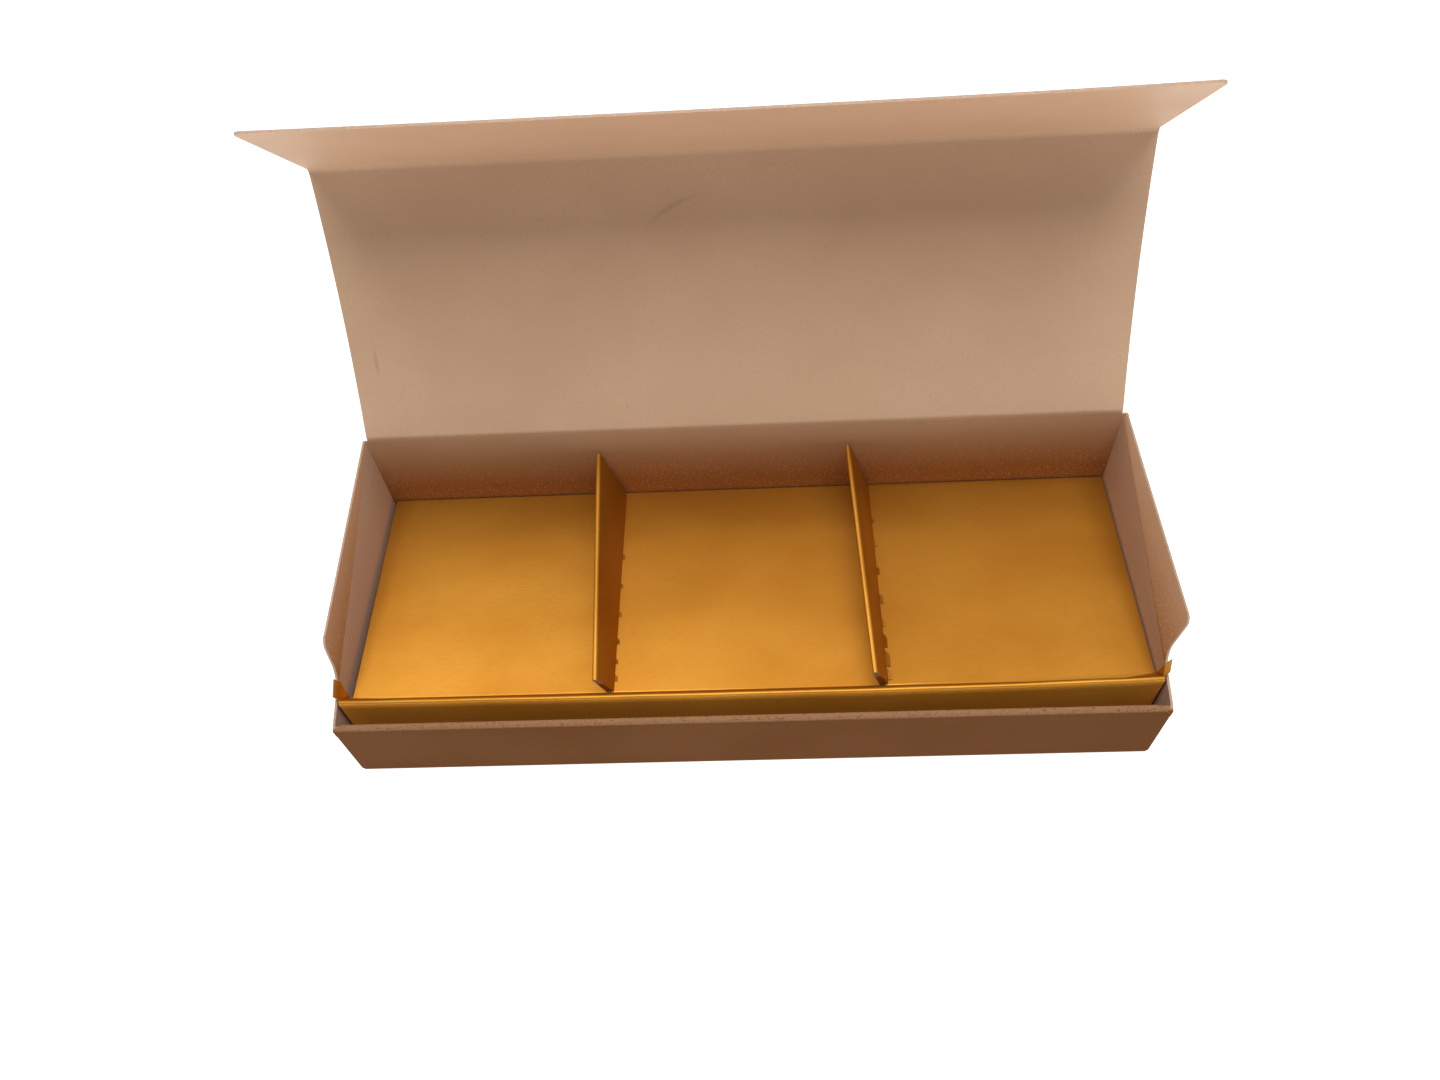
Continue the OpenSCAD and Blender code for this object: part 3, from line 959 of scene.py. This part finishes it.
def fold_liner():
    width, depth = FLOOR_X[1] + FLOOR_X[-1], FLOOR_BACK - FLOOR_FRONT
    middle = ((FLOOR_X[1] - FLOOR_X[-1]) / 2, (FLOOR_BACK + FLOOR_FRONT) / 2, FLOOR_Z)
    liner = add_panel("gold_card_liner", (width, depth), middle)
    for y in (DIVIDER_FRONT, DIVIDER_BACK):
        pick("faces", lambda m, ps: True)
        cut((0, y, FLOOR_Z), (0, 1, 0))
    for _, foot, lean in DIVIDERS:
        raise_divider(foot, lean)
    pick_edges(lambda a, b: near(a.y, FLOOR_FRONT) and near(b.y, FLOOR_FRONT))
    extrude(y=GOLD_INNER_Y - FLOOR_FRONT, z=GOLD_TOP - FLOOR_Z)
    for side in (-1, 1):
        pick("verts", lambda p, _: near(p.x, side * FLOOR_X[side]) and p.y < FLOOR_FRONT + SNAP)
        move(x=side * (WALL_X - FLOOR_X[side]))
        fold_ear(side)
    pick_edges(lambda a, b: near(a.z, GOLD_TOP) and near(b.z, GOLD_TOP))
    extrude(y=-FOLD_SPACE)
    extrude(z=LEG_FOOT - GOLD_TOP)
    pick_edges(lambda a, b: near(a.y, FLOOR_BACK) and near(b.y, FLOOR_BACK))
    extrude(z=LEG_FOOT - FLOOR_Z)
    for side in (-1, 1):
        pick_edges(lambda a, b: near(a.x, side * FLOOR_X[side]) and near(b.x, side * FLOOR_X[side])
                   and near(a.z, FLOOR_Z) and near(b.z, FLOOR_Z))
        extrude(z=LEG_FOOT - FLOOR_Z)
    pick_edges(lambda a, b: near(a.y, b.y) and near(a.z, b.z) and near(a.z, GOLD_TOP))
    round_fold(WALL_FOLD_R, 3)
    bow_wall()
    bpy.ops.mesh.select_all(action="SELECT")
    bpy.ops.mesh.remove_doubles(threshold=0.005 * MM)
    bpy.ops.mesh.select_all(action="SELECT")
    bpy.ops.mesh.normals_make_consistent(inside=False)
    for material in (gold_face, gold_face, gold_edge, gold_wall_painted_light):
        liner.data.materials.append(material)
    thicken(liner, FOIL, 1, 2)
    # The wall's outer face gets the painted-light copy of the gold.
    for face in liner.data.polygons:
        if face.normal.y < -0.9 and face.center.y / MM < GOLD_OUTER_Y + 0.7:
            face.material_index = 3
    return liner


liner = fold_liner()
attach(liner, "tray")
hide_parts("gold_liner")

# %% [markdown]
# ## Torn perforations
# Each divider was pushed up along a row of perforations, and small flakes of the foil and its core
# stand up beside the foot, 4 to 8 mm apart. Each flake is a tiny plane of its own.

# %% Torn flakes
FLAKE_T = 0.12
FLAKE_TILTS = (14, 23, 32)
FLAKES = {
    "left": ((-19.5, 0.5, 1.6), (-15.5, 0.4, 1.2), (-10.5, 0.5, 1.4), (-3.5, 0.45, 1.3),
             (4.0, 0.4, 1.2), (12.0, 0.45, 1.4)),
    "right": ((-20.3, 0.7, 2.8), (-16.6, 0.8, 3.8), (-12.2, 0.6, 3.4), (-7.6, 0.5, 2.0),
              (-1.5, 0.6, 2.4), (6.0, 0.5, 2.0), (13.5, 0.5, 1.8), (20.0, 0.4, 1.2)),
}


def add_flakes():
    flakes = []
    for name, foot, _ in DIVIDERS:
        for count, (y, width, length) in enumerate(FLAKES[name]):
            tilt = FLAKE_TILTS[count % 3]
            turn = math.radians(tilt)
            x = foot - SIDE_X + width / 2 * math.cos(turn) + 0.05
            z = FLOOR_Z + FOIL_MID + FLAKE_T + width / 2 * math.sin(turn)
            flakes.append(add_panel("flake", (width, length), (x, y, z), (0, -tilt, 0)))
            outer = x + width / 3 * math.cos(turn)
            pick("verts", lambda p, _: p.x > outer and p.y > y)
            move(y=-0.3 * length)
            bpy.ops.object.mode_set(mode="OBJECT")
    for flake in flakes:
        flake.select_set(True)
    bpy.ops.object.join()
    joined = bpy.context.object
    joined.name = "gold_card_flakes"
    for material in (gold_face, gold_edge):
        joined.data.materials.append(material)
    bpy.ops.object.mode_set(mode="EDIT")
    thicken(joined, FLAKE_T, 0, 1)
    return joined


flakes = add_flakes()
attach(flakes, "tray")
